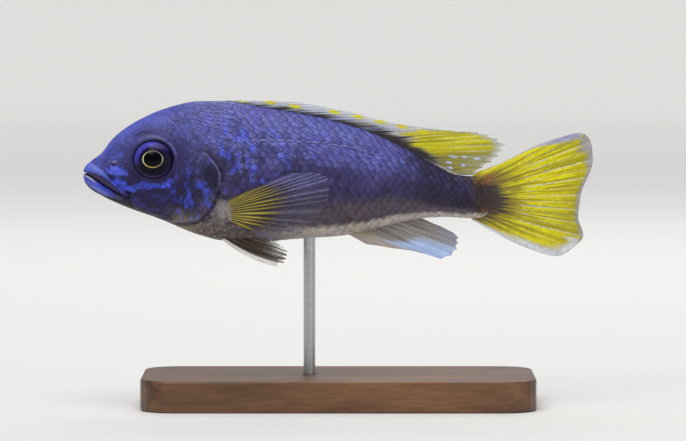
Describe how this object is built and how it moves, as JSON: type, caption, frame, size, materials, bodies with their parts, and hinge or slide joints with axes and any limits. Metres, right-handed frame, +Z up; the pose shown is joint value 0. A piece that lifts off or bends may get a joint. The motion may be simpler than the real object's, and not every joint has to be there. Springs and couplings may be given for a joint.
{
  "type": "fish model",
  "caption": "Life-size still model of a blue mbuna cichlid with yellow fins, swimming level above a flat base on one short rod.",
  "frame": {"origin": "middle of the stand's underside, under the middle of the fish's length", "axes": "+Z up, -X the way the fish faces, -Y its left side"},
  "size_m": [0.13, 0.048, 0.0781],
  "materials": {
    "skin": "wet scaled skin, blue-violet with brighter blue flecks",
    "eye": "glossy, near black",
    "yellow_fin": "thin ribbed membrane, yellow with pale rays",
    "grey_fin": "thin ribbed membrane, grey-brown with a pale blue edge",
    "dark_fin": "thin ribbed membrane, dark brown with a white leading edge",
    "stand_wood": "dark oiled wood, satin",
    "stand_steel": "satin"
  },
  "bodies": {
    "root": {"head": "skin", "lower_jaw": "skin", "gill_cover_left": "skin", "gill_cover_right": "skin", "trunk": "skin", "tail_stalk": "skin", "eye_left": "eye", "eye_right": "eye", "dorsal_fin": "yellow_fin", "tail_fin": "yellow_fin", "anal_fin": "grey_fin", "pectoral_fin_left": "yellow_fin", "pectoral_fin_right": "yellow_fin", "pelvic_fin_left": "dark_fin", "pelvic_fin_right": "dark_fin", "stand_base": "stand_wood", "stand_rod": "stand_steel"}
  },
  "joints": []
}
